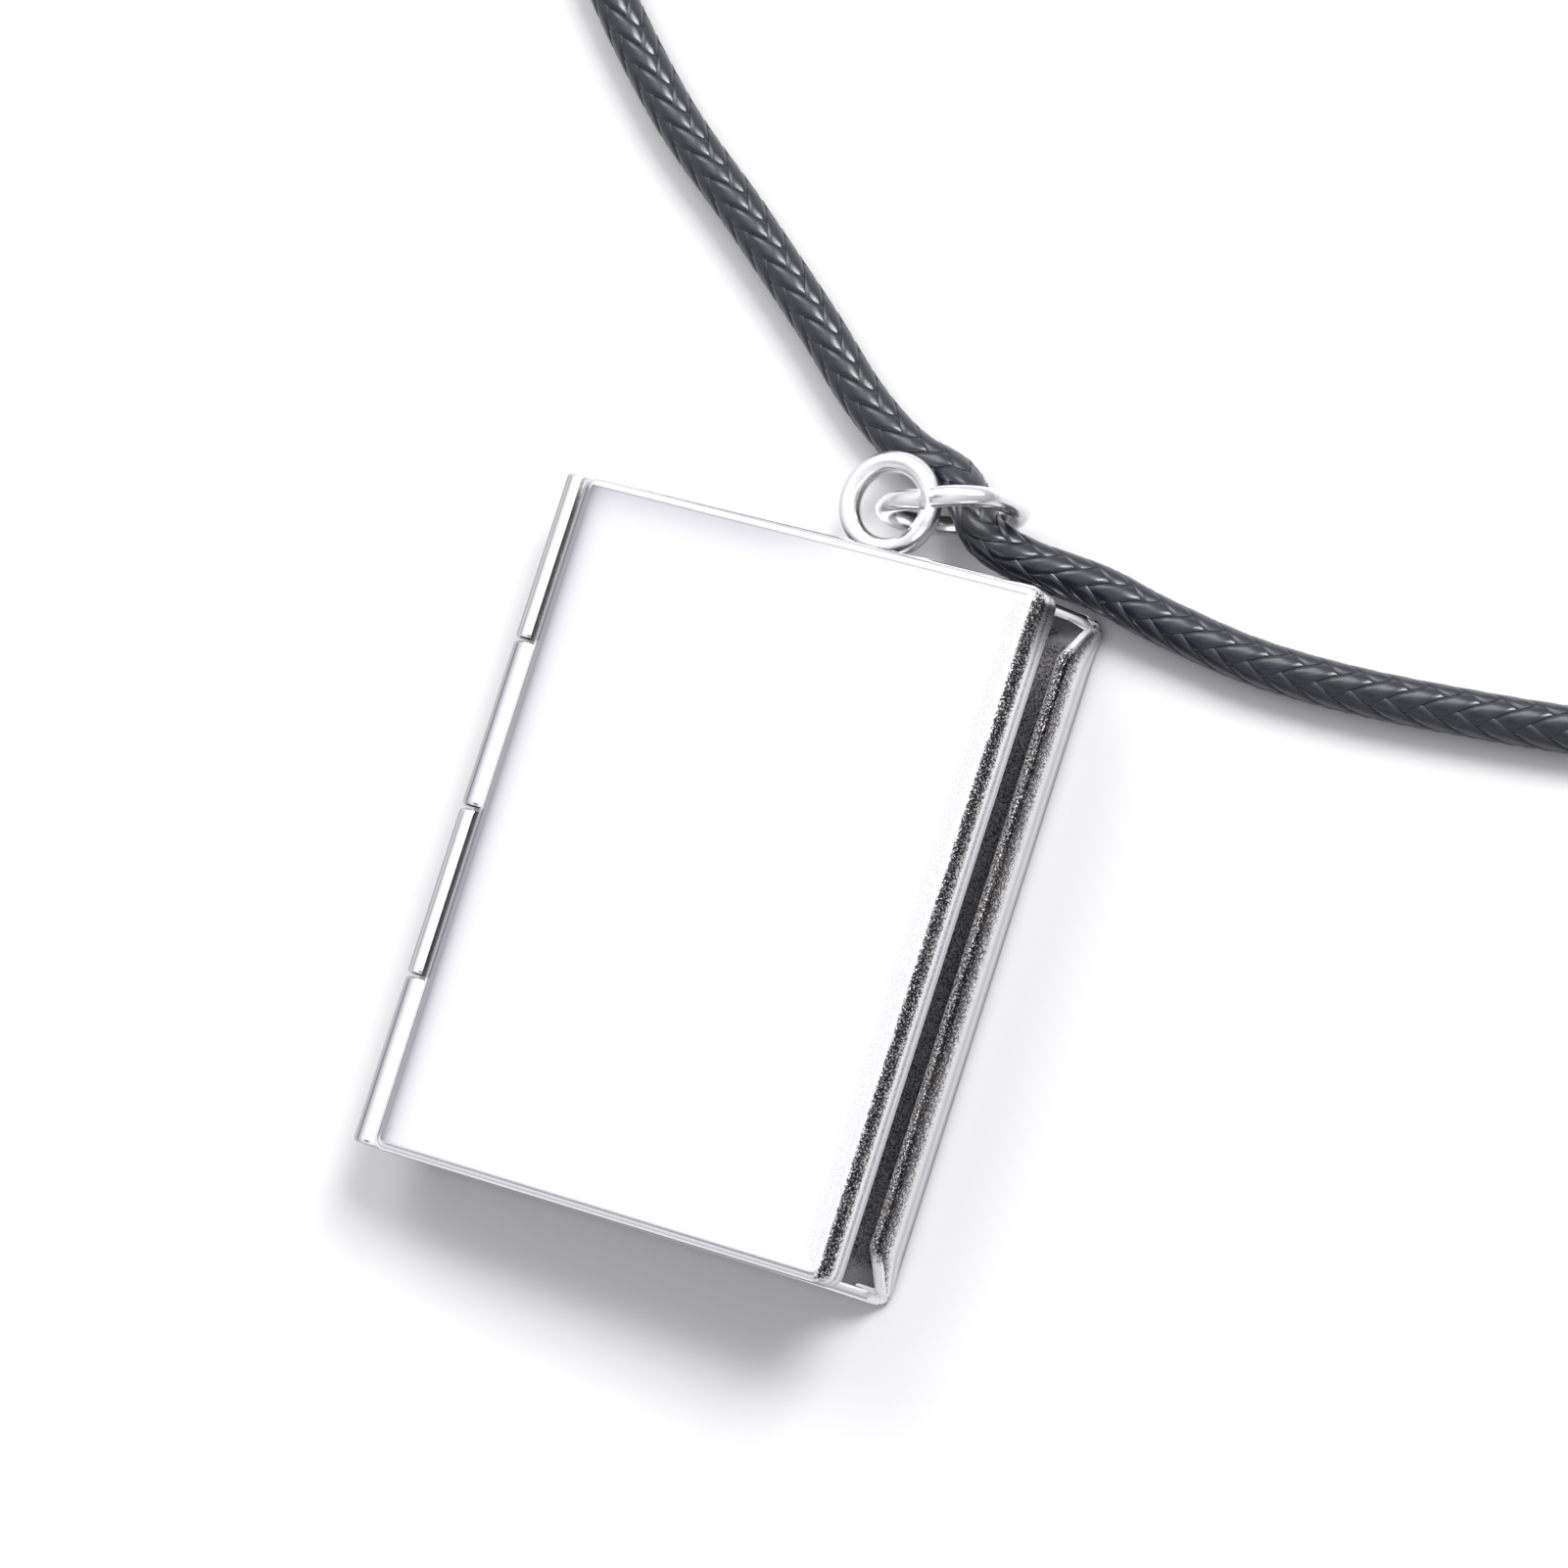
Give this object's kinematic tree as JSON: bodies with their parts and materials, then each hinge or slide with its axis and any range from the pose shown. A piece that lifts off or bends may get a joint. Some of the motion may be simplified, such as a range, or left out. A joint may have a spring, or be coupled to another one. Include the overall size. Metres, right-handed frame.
{
  "type": "locket necklace",
  "caption": "Polished steel book locket, hinged along its left edge and slightly ajar, on a black braided waxed cord laid out as a whole loop.",
  "frame": {"origin": "centre of the back cover's flat back face, on the surface that the locket lies on", "axes": "+X across the locket away from its hinge, +Y up along the locket towards its ring, +Z out of its front face"},
  "size_m": [0.1476, 0.1716, 0.0067],
  "materials": {
    "polished_steel": "polished",
    "waxed_cord": "waxed"
  },
  "bodies": {
    "locket": {"back_cover": "polished_steel", "hinge_pin": "polished_steel", "jump_ring": "polished_steel", "cord": "waxed_cord", "clasp": "polished_steel"},
    "cover": {"front_cover": "polished_steel"}
  },
  "joints": [
    {"name": "cover_hinge", "type": "hinge", "parent": "locket", "child": "cover", "pos_m": [-0.0122, 0, 0.00295], "axis": [0, -1, 0], "range_deg": [-5, 170]}
  ]
}
